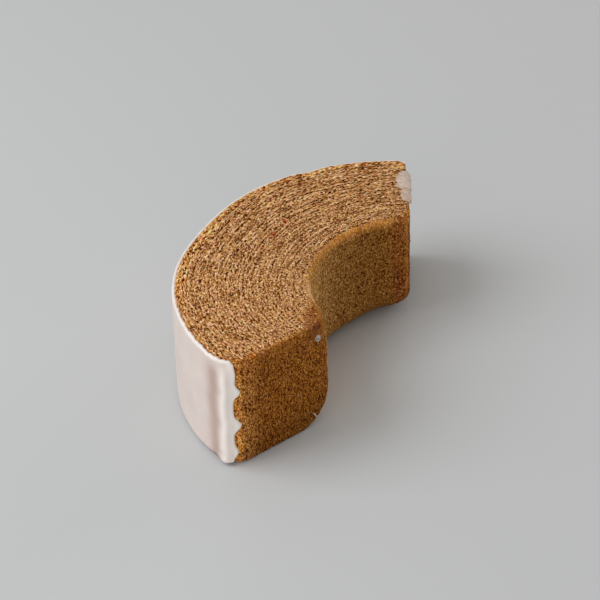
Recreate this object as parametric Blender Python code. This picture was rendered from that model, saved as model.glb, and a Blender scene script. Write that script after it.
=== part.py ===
"""An arc cut from a ring of baumkuchen, the layered cake, with sugar icing down its outer side.

Metres, +Z up. The piece lies on one cut face, as it would on a table. Angles turn about the
ring's own axis: the far end is near 110 degrees, the front end near 250, and -X is the
middle of the outer side.
"""

import math

import bmesh
import bpy
from mathutils import Vector, noise

MM = 0.001

# The ring that the piece was cut from
RING_RADIUS = 78.5 * MM
HEIGHT = 44.0 * MM
LAYERS = 16

# The hole, whose centre lies beside the axis, and how far its wall leans in at the front end
HOLE_RADIUS = 42.0 * MM
HOLE_SHIFT = Vector((12.8, 1.7)) * MM
FRONT_LIP = 2.6 * MM
FRONT_LIP_TURN = math.radians(26.0)

# The hole's wall draws in again above the lip, from the lower height up to the top
SHOULDER = 2.0 * MM
SHOULDER_HEIGHTS = (18.0 * MM, HEIGHT)

# Dents in the outer side: depth, then angle and half width in degrees
DENTS = (
    (2.2 * MM, 179.0, 19.0),
    (1.1 * MM, 137.5, 2.8),
)

# The two ends are flat cuts beside the axis: the way each faces and its distance from the
# axis. The front one leans back at its foot
FAR_NORMAL_ANGLE = math.radians(25.85)
FAR_CUT_OFFSET = 7.7 * MM
FRONT_NORMAL_ANGLE = math.radians(335.25)
FRONT_CUT_OFFSET = 5.0 * MM
FRONT_LEAN = 1.4 * MM

# Radii of the rounded top edges, where the hole's is larger at the front end than in the
# rest, and of the bottom ones
HOLE_TOP = (2.5 * MM, 4.5 * MM)
OUTER_TOP = 0.8 * MM
END_TOP = 0.7 * MM
OUTER_FOOT = 2.0 * MM
FRONT_FOOT = 0.8 * MM

# The far end's foot is rounder at the hole than at the outer side, and the hole's foot is
# rounder towards both ends: its least and greatest radius, and the angles over which it grows
FAR_FOOT = (11.0 * MM, 2.5 * MM)
HOLE_FOOT = (8.0 * MM, 12.5 * MM)
HOLE_FOOT_TURN = (math.radians(38.0), math.radians(8.0))

# Radii of the four upright corners, at the base and at the top
CORNER_RADIUS = {
    ("far", "hole"): (3.3 * MM, 3.3 * MM),
    ("far", "outer"): (3.0 * MM, 3.0 * MM),
    ("front", "hole"): (6.0 * MM, 8.0 * MM),
    ("front", "outer"): (7.0 * MM, 12.0 * MM),
}

# Relief: the fine groove between two layers, which fades towards a rounded edge, and the
# slow unevenness of the baked sides
TOP_GROOVE = 0.35 * MM
END_GROOVE = 0.22 * MM
GROOVE_FADE = 1.5 * MM
END_GROOVE_FOOT = 12.0 * MM
TOP_SWELL = 0.25 * MM
HOLE_SWELL = 0.35 * MM
SWELL_LENGTH = 17.0 * MM

# Where the mesh has its lines: heights, and rows close to each end as shares of the arc
LOW_LEVELS = (0.0, 0.5 * MM, 1.8 * MM, 4.0 * MM, 7.5 * MM, 12.5 * MM)
MIDDLE_LEVELS = (18.0 * MM, 26.0 * MM, 33.0 * MM, 39.5 * MM)
TOP_LEVELS = (HEIGHT - 2.0 * MM, HEIGHT - 0.6 * MM, HEIGHT)
END_ROWS = (0.0, 0.016, 0.036)
ARC_ROWS = 27
BUNCHING = 0.35

# The icing, which hangs as a skin on the outer side
GAP = 0.3 * MM
ICING_THICKNESS = 0.75 * MM
ICING_EDGE = 0.35 * MM
ICING_FOOT = 0.5 * MM
ICING_TOP = HEIGHT - 0.1 * MM
ICING_LEVELS = 23
ICING_TOP_ROWS = (1.1 * MM, 0.5 * MM, 0.0)
ICING_ROUND = 1.5 * MM
ICING_SWELL = 0.22 * MM
ICING_SWELL_LENGTH = 9.0 * MM

# The icing's ridge and the valley behind it: height, distance from the front edge and half
# width. Both fade out below the top edge, and follow the edge's waves by a share
RIDGES = (
    (0.8 * MM, 5.4 * MM, 2.6 * MM),
    (-0.4 * MM, 11.5 * MM, 3.6 * MM),
)
RIDGE_FADE = 8.0 * MM
RIDGE_WAVE = 0.3

# Drops along the icing's front edge: how far each runs on, its height and half width
FRONT_REACH = -1.0 * MM
FRONT_DROPS = (
    (2.0 * MM, 38.0 * MM, 5.0 * MM),
    (4.5 * MM, 30.7 * MM, 2.5 * MM),
    (5.2 * MM, 16.8 * MM, 3.1 * MM),
    (1.0 * MM, 10.0 * MM, 2.5 * MM),
    (3.5 * MM, 5.2 * MM, 3.0 * MM),
)

# How far the icing's top edge sinks: in the far part of the arc, and in a round corner of its
# own at the front edge, with the distances along the side over which it does
FAR_SAG = 0.3 * MM
FAR_SAG_SPAN = (70.0 * MM, 48.0 * MM)
FRONT_SAG = 1.2 * MM
FRONT_SAG_SPAN = 5.0 * MM
SAG_DEPTH = 14.0 * MM

# How far the icing's foot lifts off at the front corner, over which distance and height
FRONT_LIFT = 0.9 * MM
FRONT_LIFT_SPAN = (24.0 * MM, 6.0 * MM)
LIFT_DEPTH = 8.0 * MM

# How far the icing runs on around the far corner, where its edge has slow waves
FAR_REACH = 1.6 * MM
FAR_WAVE = 0.8 * MM
FAR_WAVES = 3.0

# The icing's last rows: shares of its reach at the far end, and distances from its front
# edge, where the drops pull the rows along as far back as DROP_PULL
FAR_ROWS = (1.0, 0.72, 0.4)
EDGE_ROWS = (8.5 * MM, 6.0 * MM, 4.2 * MM, 2.8 * MM, 1.6 * MM, 0.7 * MM, 0.0)
DROP_PULL = 12.0 * MM
EDGE_CLEAR = 2.0 * MM

# The smear of icing on the far end's top edge, as two lobes: distance from the axis,
# half length, how far in from the edge it starts, how far over the edge it hangs, thickness
SMEAR_LOBES = (
    (64.0 * MM, 6.8 * MM, 4.0 * MM, 2.0 * MM, 1.3 * MM),
    (53.0 * MM, 4.9 * MM, 2.8 * MM, 0.6 * MM, 0.9 * MM),
)
SMEAR_COLUMNS = 19
SMEAR_ROWS = 9
SMEAR_EDGE = 0.3 * MM
SMEAR_GAP = 0.4 * MM

CRUMB_COLOUR = (0.42, 0.21, 0.08, 1.0)
ICING_COLOUR = (0.80, 0.70, 0.66, 1.0)

# Lengths that follow from the sizes above
FAR_ANGLE = FAR_NORMAL_ANGLE + math.acos(FAR_CUT_OFFSET / RING_RADIUS)
FRONT_ANGLE = FRONT_NORMAL_ANGLE - math.acos(FRONT_CUT_OFFSET / RING_RADIUS)
OUTER_LENGTH = RING_RADIUS * (FRONT_ANGLE - FAR_ANGLE)
RING_WIDTH = RING_RADIUS + HOLE_SHIFT.length - HOLE_RADIUS
PROBE = 0.05 * MM


def clear_scene():
    for old in list(bpy.data.objects):
        bpy.data.objects.remove(old, do_unlink=True)


def mix(low, high, share):
    return low + (high - low) * share


def make_material(name, colour, roughness):
    material = bpy.data.materials.new(name)
    material.use_nodes = True
    shader = material.node_tree.nodes["Principled BSDF"]
    shader.inputs["Base Color"].default_value = colour
    shader.inputs["Roughness"].default_value = roughness
    shader.inputs["Metallic"].default_value = 0.0
    return material


def finish_object(name, shape, material):
    bmesh.ops.recalc_face_normals(shape, faces=shape.faces)
    mesh = bpy.data.meshes.new(name)
    shape.to_mesh(mesh)
    shape.free()
    mesh.materials.append(material)
    mesh.shade_smooth()
    mesh.set_sharp_from_angle(angle=math.radians(38.0))
    piece = bpy.data.objects.new(name, mesh)
    bpy.context.scene.collection.objects.link(piece)
    return piece


def smooth_share(value, start, end):
    """0 at start and 1 at end, rising evenly in between without a corner."""
    share = min(max((value - start) / (end - start), 0.0), 1.0)
    return share * share * (3.0 - 2.0 * share)


def bump(value, centre, spread):
    """A round hill, 1 at its centre and almost 0 two spreads away."""
    return math.exp(-(((value - centre) / spread) ** 2))


def outer_radius(angle):
    turn = math.degrees(angle)
    return RING_RADIUS - sum(depth * bump(turn, *dent) for depth, *dent in DENTS)


def front_share(angle):
    return smooth_share(angle, FRONT_ANGLE - FRONT_LIP_TURN, FRONT_ANGLE)


def hole_radius(angle):
    """Distance from the ring's axis to the hole's wall, whose centre lies beside the axis.

    Close to the front end the wall leans into the hole.
    """
    along = HOLE_SHIFT.x * math.cos(angle) + HOLE_SHIFT.y * math.sin(angle)
    wall = along + math.sqrt(HOLE_RADIUS**2 - HOLE_SHIFT.length_squared + along**2)
    return wall - FRONT_LIP * front_share(angle)


def far_angle(radius):
    return FAR_NORMAL_ANGLE + math.acos(FAR_CUT_OFFSET / radius)


def front_angle(radius):
    return FRONT_NORMAL_ANGLE - math.acos(FRONT_CUT_OFFSET / radius)


def plan_point(across, along):
    """Radius and angle at shares of the way from hole to rim and from far to front end."""
    angle = mix(FAR_ANGLE, FRONT_ANGLE, along)
    for _ in range(4):
        radius = mix(hole_radius(angle), outer_radius(angle), across)
        angle = mix(far_angle(radius), front_angle(radius), along)
    return radius, angle


def foot_radius(side, across, angle):
    """Radius of the rounding at the base of one of the four sides."""
    if side == "outer":
        return OUTER_FOOT
    if side == "front":
        return FRONT_FOOT
    if side == "far":
        return mix(*FAR_FOOT, across)
    turn = min(angle - FAR_ANGLE, FRONT_ANGLE - angle)
    return mix(*HOLE_FOOT, smooth_share(turn, *HOLE_FOOT_TURN))


def top_radius(side, angle):
    """Radius of the rounding at the top of the hole's or the outer side."""
    if side == "outer":
        return OUTER_TOP
    return mix(*HOLE_TOP, front_share(angle))


def shoulder_inset(angle, height):
    return SHOULDER * front_share(angle) * smooth_share(height, *SHOULDER_HEIGHTS) ** 2


def edge_inset(height, foot, top):
    """How far a side has drawn in at a height, for the radii of its foot and its top edge."""
    if height < foot:
        return foot - math.sqrt(foot**2 - (foot - height) ** 2)
    if height > HEIGHT - top:
        return top - math.sqrt(max(top**2 - (height - HEIGHT + top) ** 2, 0.0))
    return 0.0


def softened_point(across, along, height):
    """The plan point after the edges and upright corners have been rounded."""
    radius, angle = plan_point(across, along)
    width = outer_radius(angle) - hole_radius(angle)
    length = radius * (front_angle(radius) - far_angle(radius))
    side = "hole" if across < 0.5 else "outer"
    end = "far" if along < 0.5 else "front"
    side_inset = edge_inset(
        height, foot_radius(side, across, angle), top_radius(side, angle)
    )
    end_inset = edge_inset(height, foot_radius(end, across, angle), END_TOP)
    if side == "hole":
        side_inset += shoulder_inset(angle, height)
    if end == "front":
        end_inset += FRONT_LEAN * (1.0 - height / HEIGHT)
    from_side = min(across, 1.0 - across) * width
    from_end = min(along, 1.0 - along) * length
    from_side = max(from_side, side_inset + BUNCHING * from_side)
    from_end = max(from_end, end_inset + BUNCHING * from_end)
    corner = mix(*CORNER_RADIUS[(end, side)], height / HEIGHT)
    side_share = 1.0 - (from_side - side_inset) / corner
    end_share = 1.0 - (from_end - end_inset) / corner
    if side_share > 0.0 and end_share > 0.0:
        squeeze = max(side_share, end_share) / math.hypot(side_share, end_share)
        from_side = side_inset + corner * (1.0 - side_share * squeeze)
        from_end = end_inset + corner * (1.0 - end_share * squeeze)
    new_across = from_side / width
    new_along = from_end / length
    if side == "outer":
        new_across = 1.0 - new_across
    if end == "front":
        new_along = 1.0 - new_along
    return plan_point(new_across, new_along)


def groove_at(across):
    """1 on the line between two layers and 0 in the middle of a layer or at a side."""
    layer = across * LAYERS
    return 2.0 * abs(layer - round(layer))


def swell_at(point, length, seed):
    return noise.noise(point / length + Vector((seed, -seed, 0.5 * seed)))


def cake_point(across, along, height):
    """Where the mesh point with these shares and this height lies on the cake."""
    radius, angle = softened_point(across, along, height)
    drawn_in = abs(radius - plan_point(across, along)[0])
    groove = groove_at(across) * (1.0 - smooth_share(drawn_in, 0.0, GROOVE_FADE))
    spot = Vector((radius * math.cos(angle), radius * math.sin(angle), height))
    if height == HEIGHT:
        swell = TOP_SWELL * swell_at(spot, SWELL_LENGTH, 3.0)
        spot.z += swell - TOP_GROOVE * groove
    if along in (0.0, 1.0) and height > END_GROOVE_FOOT:
        facing = FRONT_NORMAL_ANGLE if along == 1.0 else FAR_NORMAL_ANGLE
        outward = Vector((math.cos(facing), math.sin(facing), 0.0))
        spot -= outward * END_GROOVE * groove
    if across == 0.0:
        outward = Vector((math.cos(angle), math.sin(angle), 0.0))
        spot += outward * HOLE_SWELL * swell_at(spot, SWELL_LENGTH, 8.0)
    return spot


def across_lines():
    """Shares of the width: one line in each groove and one along the crown of each layer."""
    lines = [step / (2.0 * LAYERS) for step in range(2, 2 * LAYERS)]
    return [0.0] + lines + [1.0]


def along_lines():
    """Shares of the arc: even rows, with closer ones where the ends are rounded."""
    last = END_ROWS[-1]
    even = [mix(last, 1.0 - last, row / ARC_ROWS) for row in range(1, ARC_ROWS)]
    return list(END_ROWS) + even + [1.0 - row for row in reversed(END_ROWS)]


def grid_sheet(shape, columns, rows):
    """A flat grid whose point at column i and row j stands at (i, j, 0)."""
    made = bmesh.ops.create_grid(
        shape, x_segments=columns - 1, y_segments=rows - 1, size=0.5
    )
    for vert in made["verts"]:
        vert.co.x = round((vert.co.x + 0.5) * (columns - 1))
        vert.co.y = round((vert.co.y + 0.5) * (rows - 1))


def build_cake(material):
    """A grid is the top; its border is drawn down level by level and closed below."""
    columns = across_lines()
    rows = along_lines()
    levels = LOW_LEVELS + MIDDLE_LEVELS + TOP_LEVELS
    shape = bmesh.new()
    grid_sheet(shape, len(columns), len(rows))
    for vert in shape.verts:
        vert.co.z = len(levels) - 1
    border = [edge for edge in shape.edges if edge.is_boundary]
    for level in reversed(range(len(levels) - 1)):
        drawn = bmesh.ops.extrude_edge_only(shape, edges=border)["geom"]
        for vert in (item for item in drawn if isinstance(item, bmesh.types.BMVert)):
            vert.co.z = level
        border = [item for item in drawn if isinstance(item, bmesh.types.BMEdge)]
        border = [edge for edge in border if edge.is_boundary]
    bmesh.ops.contextual_create(shape, geom=border)
    for vert in shape.verts:
        column, row, level = (round(value) for value in vert.co)
        vert.co = cake_point(columns[column], rows[row], levels[level])
    bmesh.ops.triangulate(shape, faces=shape.faces, quad_method="BEAUTY", ngon_method="BEAUTY")
    return finish_object("cake", shape, material)


def skin_point(distance, height, lift):
    """A point above the outer side, at a distance along it from its far corner.

    Below 0 the distance runs on around the corner onto the far end face, and past the
    side's whole length it runs on around the front corner onto the front end face.
    """
    near = []
    for place in (distance - PROBE, distance + PROBE):
        over = max(place - OUTER_LENGTH, 0.0) + max(-place, 0.0)
        along = min(max(place / OUTER_LENGTH, 0.0), 1.0)
        radius, angle = softened_point(1.0 - over / RING_WIDTH, along, height)
        near.append(Vector((radius * math.cos(angle), radius * math.sin(angle), height)))
    ahead = (near[1] - near[0]).normalized()
    outward = Vector((ahead.y, -ahead.x, 0.0))
    return (near[0] + near[1]) / 2 + outward * lift


def front_edge(height):
    """How far past the front corner the icing's edge hangs at a height."""
    return FRONT_REACH + sum(drop * bump(height, *place) for drop, *place in FRONT_DROPS)


def far_edge(height):
    return FAR_REACH + FAR_WAVE * math.sin(FAR_WAVES * math.tau * height / HEIGHT)


def round_rise(distance, radius):
    """0 at an edge, rising on a quarter circle to 1 at a distance of one radius."""
    short = 1.0 - min(distance / radius, 1.0)
    return math.sqrt(1.0 - short * short)


def icing_top(distance):
    """Height of the icing's top edge, which sinks in the far part and at the front corner."""
    far = FAR_SAG * smooth_share(distance, *FAR_SAG_SPAN)
    to_front = max(OUTER_LENGTH + FRONT_REACH - distance, 0.0)
    front = FRONT_SAG * (1.0 - round_rise(to_front, FRONT_SAG_SPAN))
    return ICING_TOP - far - front


def icing_height(level, distance):
    """Height of a level of the icing, after its top edge has sunk and its foot lifted."""
    height = mix(ICING_FOOT, ICING_TOP, level)
    sag = ICING_TOP - icing_top(distance)
    lift = FRONT_LIFT * smooth_share(OUTER_LENGTH - distance, *FRONT_LIFT_SPAN)
    sunk = height - sag * smooth_share(height, ICING_TOP - SAG_DEPTH, ICING_TOP)
    return sunk + lift * (1.0 - smooth_share(height, ICING_FOOT, LIFT_DEPTH))


def icing_thickness(distance, height):
    to_front = OUTER_LENGTH + front_edge(height) - distance
    to_far = distance + far_edge(height)
    to_top = icing_top(distance) - height
    to_ridge = OUTER_LENGTH + mix(FRONT_REACH, front_edge(height), RIDGE_WAVE) - distance
    ridge = sum(rise * bump(to_ridge, back, spread) for rise, back, spread in RIDGES)
    ridge *= smooth_share(to_top, 0.0, RIDGE_FADE)
    swell = ICING_SWELL * swell_at(Vector((distance, height, 0.0)), ICING_SWELL_LENGTH, 5.0)
    full = ICING_THICKNESS + ridge + swell - ICING_EDGE
    nearest = min(to_front, to_far, to_top)
    return ICING_EDGE + full * round_rise(max(nearest, 0.0), ICING_ROUND)


def build_skin(name, columns, rows, place, material):
    """Two sheets of one grid, joined along their border; place gives each point."""
    shape = bmesh.new()
    grid_sheet(shape, columns, rows)
    made = bmesh.ops.extrude_face_region(shape, geom=shape.faces[:], use_keep_orig=True)
    for vert in (item for item in made["geom"] if isinstance(item, bmesh.types.BMVert)):
        vert.co.z = 1.0
    for vert in shape.verts:
        vert.co = place(round(vert.co.x), round(vert.co.y), vert.co.z)
    bmesh.ops.triangulate(shape, faces=shape.faces, quad_method="BEAUTY")
    return finish_object(name, shape, material)


def icing_levels():
    """Shares of the height from the icing's foot to its top edge."""
    tall = ICING_TOP - ICING_FOOT
    last = 1.0 - ICING_TOP_ROWS[0] / tall
    even = [last * level / ICING_LEVELS for level in range(ICING_LEVELS)]
    return even + [1.0 - row / tall for row in ICING_TOP_ROWS]


def build_icing(material):
    levels = icing_levels()
    rows = [OUTER_LENGTH * row for row in along_lines()]
    rows = [row for row in rows if row < OUTER_LENGTH - EDGE_ROWS[0] - EDGE_CLEAR]
    front_start = len(FAR_ROWS) + len(rows)
    columns = front_start + len(EDGE_ROWS)

    def distance_at(column, height):
        if column < len(FAR_ROWS):
            return -far_edge(height) * FAR_ROWS[column]
        if column < front_start:
            return rows[column - len(FAR_ROWS)]
        back = EDGE_ROWS[column - front_start]
        pull = 1.0 - back / DROP_PULL
        return OUTER_LENGTH - back + front_edge(height) * pull

    def place(column, level, sheet):
        distance = distance_at(column, mix(ICING_FOOT, ICING_TOP, levels[level]))
        height = icing_height(levels[level], distance)
        lift = GAP + sheet * icing_thickness(distance, height)
        return skin_point(distance, height, lift)

    return build_skin("icing", columns, len(levels), place, material)


def far_edge_point(reach, over, lift):
    """A point above the far end's top edge.

    reach is the distance from the axis along the end. over is 0 on the edge, negative
    towards the middle of the top face and positive down the end face.
    """
    bend = END_TOP
    turn = min(max(over / bend + math.pi / 4, 0.0), math.pi / 2)
    flat = max(-over - bend * math.pi / 4, 0.0)
    drop = max(over - bend * math.pi / 4, 0.0)
    inset = bend * (1.0 - math.sin(turn)) + flat - lift * math.sin(turn)
    below = bend * (1.0 - math.cos(turn)) + drop - lift * math.cos(turn)
    normal = Vector((math.cos(FAR_NORMAL_ANGLE), math.sin(FAR_NORMAL_ANGLE), 0.0))
    level = Vector((-normal.y, normal.x, 0.0))
    spot = normal * (FAR_CUT_OFFSET - inset) + level * reach
    spot.z = HEIGHT
    swell = TOP_SWELL * swell_at(spot, SWELL_LENGTH, 3.0)
    spot.z = HEIGHT + swell * math.cos(turn) - below
    return spot


def build_smear(material):
    low = min(centre - half for centre, half, *_ in SMEAR_LOBES)
    high = max(centre + half for centre, half, *_ in SMEAR_LOBES)

    def spans(reach):
        """How far the smear goes in, over the edge and up, where the lobes are widest."""
        inner = over = rise = 0.0
        for centre, half, lobe_in, lobe_over, thickness in SMEAR_LOBES:
            share = round_rise(max(half - abs(reach - centre), 0.0), half)
            inner = max(inner, lobe_in * share)
            over = max(over, lobe_over * share)
            rise = max(rise, thickness * share)
        return inner, over, rise

    def place(column, row, sheet):
        reach = mix(low, high, column / (SMEAR_COLUMNS - 1))
        inner, over, rise = spans(reach)
        share = row / (SMEAR_ROWS - 1)
        across = mix(-inner - SMEAR_EDGE, over + SMEAR_EDGE, share)
        crown = round_rise(min(share, 1.0 - share), 0.5)
        return far_edge_point(reach, across, SMEAR_GAP + sheet * (SMEAR_EDGE + rise * crown))

    return build_skin("icing_smear", SMEAR_COLUMNS, SMEAR_ROWS, place, material)


def stand_at_origin(pieces):
    """Move the pieces so that the whole stands centred on the origin, on its base."""
    spots = [vert.co for piece in pieces for vert in piece.data.vertices]
    low = [min(spot[axis] for spot in spots) for axis in range(3)]
    high = [max(spot[axis] for spot in spots) for axis in range(3)]
    middle = Vector(((low[0] + high[0]) / 2, (low[1] + high[1]) / 2, low[2]))
    for piece in pieces:
        piece.location = -middle
    print("ring axis at", [round(-value / MM, 3) for value in middle], "mm")


def main():
    clear_scene()
    crumb = make_material("baked crumb", CRUMB_COLOUR, 0.9)
    icing = make_material("sugar icing", ICING_COLOUR, 0.35)
    pieces = [build_cake(crumb), build_icing(icing), build_smear(icing)]
    stand_at_origin(pieces)


main()
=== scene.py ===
# %% [markdown]
# # A piece of baumkuchen
#
# Baumkuchen is baked on a turning roller, coat by coat, and each coat of batter browns before the
# next. So a cut shows rings, as in a tree. This piece is an arc of such a ring: it lies on one
# cut face, with a thin skin of sugar icing on its outer side. The frame holds the plain solids,
# and this script makes the fine surfaces that take their place.

# %% Load the frame
import math

import bmesh
import bpy
import numpy as np
from mathutils import Matrix, Vector, noise


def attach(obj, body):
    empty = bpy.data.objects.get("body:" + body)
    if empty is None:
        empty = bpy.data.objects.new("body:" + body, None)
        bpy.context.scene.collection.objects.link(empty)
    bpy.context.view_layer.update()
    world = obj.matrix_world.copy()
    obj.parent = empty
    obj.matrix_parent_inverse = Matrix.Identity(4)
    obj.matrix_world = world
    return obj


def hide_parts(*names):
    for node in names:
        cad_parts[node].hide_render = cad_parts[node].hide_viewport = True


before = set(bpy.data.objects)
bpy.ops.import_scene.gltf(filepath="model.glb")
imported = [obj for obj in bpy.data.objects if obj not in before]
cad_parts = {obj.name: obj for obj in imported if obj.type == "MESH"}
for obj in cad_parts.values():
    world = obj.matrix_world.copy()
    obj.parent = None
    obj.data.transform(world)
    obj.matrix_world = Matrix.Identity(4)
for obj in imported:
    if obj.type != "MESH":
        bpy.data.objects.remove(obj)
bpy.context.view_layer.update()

print("nodes:", sorted(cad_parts))

# %% [markdown]
# ## The ring's measures
#
# A cake's form is easiest to say around the ring's own axis: how far out, how far round and how
# high. So the script counts in millimetres from there, and the last step turns a point into the
# frame's metres. The values are the solids' own, but for the finer edge of the hole at the front.

# %% Measures of the ring and its cut
MM = 0.001
AXIS = np.array((44.041, -0.734, 0.0))
RING_RADIUS = 78.5
HEIGHT = 44.0
LAYERS = 16
HOLE_RADIUS = 42.0
HOLE_SHIFT = (12.8, 1.7)
FRONT_LIP = 2.6
FRONT_LIP_TURN = math.radians(36.0)
DENTS = ((2.2, 179.0, 19.0), (1.1, 137.5, 2.8))
FAR_NORMAL_ANGLE = math.radians(25.85)
FAR_CUT_OFFSET = 7.7
FRONT_NORMAL_ANGLE = math.radians(335.25)
FRONT_CUT_OFFSET = 5.0
FRONT_LEAN = 1.4
SHOULDER = 1.5
SHOULDER_HEIGHTS = (18.0, 44.0)
HOLE_TOP = (2.2, 2.6)
OUTER_TOP = 0.8
END_TOP = 0.7
OUTER_FOOT = 2.0
FRONT_FOOT = 0.8
FAR_FOOT = (11.0, 2.5)
HOLE_FOOT = (8.0, 12.5)
HOLE_FOOT_TURN = (math.radians(38.0), math.radians(8.0))
CORNER_RADIUS = {
    "far_hole": (3.3, 3.3),
    "far_outer": (3.0, 3.0),
    "front_hole": (6.0, 8.0),
    "front_outer": (7.0, 12.0),
}
FAR_ANGLE = FAR_NORMAL_ANGLE + math.acos(FAR_CUT_OFFSET / RING_RADIUS)
FRONT_ANGLE = FRONT_NORMAL_ANGLE - math.acos(FRONT_CUT_OFFSET / RING_RADIUS)
OUTER_LENGTH = RING_RADIUS * (FRONT_ANGLE - FAR_ANGLE)
RING_WIDTH = RING_RADIUS + math.hypot(*HOLE_SHIFT) - HOLE_RADIUS
print("arc in degrees:", round(math.degrees(FRONT_ANGLE - FAR_ANGLE), 1))

# %% [markdown]
# ## Small curves
#
# Four curves shape almost everything here: an even blend, a soft step, a round hill and a quarter
# circle. They could work on one vertex at a time, but whole arrays keep a large mesh quick.


# %% Blend, step, hill and quarter circle
def mix(low, high, share):
    return low + (high - low) * share


def soft_step(value, start, end):
    """0 at start and 1 at end, rising evenly in between without a corner."""
    share = np.clip((value - start) / (end - start), 0.0, 1.0)
    return share * share * (3.0 - 2.0 * share)


def bump(value, centre, spread):
    """A round hill, 1 at its centre and almost 0 two spreads away."""
    return np.exp(-(((value - centre) / spread) ** 2))


def round_rise(distance, radius):
    """0 at an edge, rising on a quarter circle to 1 at a distance of one radius."""
    short = 1.0 - np.clip(distance / radius, 0.0, 1.0)
    return np.sqrt(1.0 - short * short)


print("a quarter of the way up:", soft_step(0.25, 0.0, 1.0), round_rise(0.25, 1.0).round(3))

# %% [markdown]
# ## The plan of the arc
#
# Seen from above, the piece is a ring's sector whose hole lies off the axis. A point of it is two
# shares: across, from the hole to the rim, and along, from the far cut to the front one. An even
# ring could be spun, but these cuts are flat and pass beside the axis. So a few rounds of
# correction settle radius and angle.


# %% Radii and angles
def outer_radius(angle):
    turn = np.degrees(angle)
    return RING_RADIUS - sum(depth * bump(turn, *dent) for depth, *dent in DENTS)


def front_share(angle):
    return soft_step(angle, FRONT_ANGLE - FRONT_LIP_TURN, FRONT_ANGLE)


def hole_radius(angle):
    along = HOLE_SHIFT[0] * np.cos(angle) + HOLE_SHIFT[1] * np.sin(angle)
    wall = along + np.sqrt(HOLE_RADIUS**2 - math.hypot(*HOLE_SHIFT) ** 2 + along**2)
    return wall - FRONT_LIP * front_share(angle)


def far_angle(radius):
    return FAR_NORMAL_ANGLE + np.arccos(FAR_CUT_OFFSET / radius)


def front_angle(radius):
    return FRONT_NORMAL_ANGLE - np.arccos(FRONT_CUT_OFFSET / radius)


def plan_point(across, along):
    angle = mix(FAR_ANGLE, FRONT_ANGLE, along)
    for _ in range(4):
        radius = mix(hole_radius(angle), outer_radius(angle), across)
        angle = mix(far_angle(radius), front_angle(radius), along)
    return radius, angle


print("width across in mm:", np.round(plan_point(1.0, 0.5)[0] - plan_point(0.0, 0.5)[0], 1))

# %% [markdown]
# ## Rounded edges
#
# A cut cake has soft edges. A bevel has one width, and these grow from one end to the other. So a
# side draws in near its foot and its top on a quarter circle, and at an upright corner the
# distances from its two sides are squeezed from a square onto a disc.

# %% Edges, feet and corners
BUNCHING = 0.35


def edge_inset(height, foot, top):
    """How far a side has drawn in at a height, for the radii of its foot and its top."""
    low = np.clip(foot - height, 0.0, foot)
    high = np.clip(height - HEIGHT + top, 0.0, top)
    return foot - np.sqrt(foot**2 - low**2) + top - np.sqrt(top**2 - high**2)


def side_inset_at(across, angle, height):
    at_hole = across < 0.5
    turn = np.minimum(angle - FAR_ANGLE, FRONT_ANGLE - angle)
    hole_foot = mix(*HOLE_FOOT, soft_step(turn, *HOLE_FOOT_TURN))
    foot = np.where(at_hole, hole_foot, OUTER_FOOT)
    top = np.where(at_hole, mix(*HOLE_TOP, front_share(angle)), OUTER_TOP)
    shoulder = SHOULDER * front_share(angle) * soft_step(height, *SHOULDER_HEIGHTS) ** 2
    return edge_inset(height, foot, top) + np.where(at_hole, shoulder, 0.0)


def end_inset_at(across, along, height):
    at_far = along < 0.5
    foot = np.where(at_far, mix(*FAR_FOOT, across), FRONT_FOOT)
    lean = np.where(at_far, 0.0, FRONT_LEAN * (1.0 - height / HEIGHT))
    return edge_inset(height, foot, END_TOP) + lean


def corner_at(across, along, height):
    radii = {name: mix(*ends, height / HEIGHT) for name, ends in CORNER_RADIUS.items()}
    far = np.where(across < 0.5, radii["far_hole"], radii["far_outer"])
    front = np.where(across < 0.5, radii["front_hole"], radii["front_outer"])
    return np.where(along < 0.5, far, front)


def softened_point(across, along, height):
    """Radius and angle of a point after its edges and upright corners have been rounded."""
    radius, angle = plan_point(across, along)
    width = outer_radius(angle) - hole_radius(angle)
    length = radius * (front_angle(radius) - far_angle(radius))
    spans = np.array((width, length))
    shares = np.array((across, along))
    side_inset = side_inset_at(across, angle, height)
    insets = np.array((side_inset, end_inset_at(across, along, height)))
    inside = np.minimum(shares, 1.0 - shares) * spans
    inside = np.maximum(inside, insets + BUNCHING * inside)
    corner = corner_at(across, along, height)
    near = np.clip(1.0 - (inside - insets) / corner, 0.0, None)
    in_corner = near.min(axis=0) > 0.0
    reach = np.where(in_corner, np.hypot(*near), 1.0)
    rounded = insets + corner * (1.0 - near * near.max(axis=0) / reach)
    inside = np.where(in_corner, rounded, inside)
    return plan_point(*np.where(shares < 0.5, inside / spans, 1.0 - inside / spans))


print("hole's foot draws in by mm:", np.round(side_inset_at(0.0, math.pi, 0.0), 1))

# %% [markdown]
# ## Grids that become surfaces
#
# A cake could be sculpted, but its rings ask for even rows. So every surface starts as a grid
# from `create_grid`, whose vertices stand at whole numbers: column, row and level. The cake's
# grid is its top: `extrude_edge_only` draws the border down level by level, and one face closes
# it below. A skin is a grid with a lifted copy.


# %% Block and skin
def counted_grid(columns, rows):
    shape = bmesh.new()
    bmesh.ops.create_grid(shape, x_segments=columns - 1, y_segments=rows - 1, size=0.5)
    for vert in shape.verts:
        vert.co.x = round((vert.co.x + 0.5) * (columns - 1))
        vert.co.y = round((vert.co.y + 0.5) * (rows - 1))
    return shape


def only(items, kind):
    return [item for item in items if isinstance(item, kind)]


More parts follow.
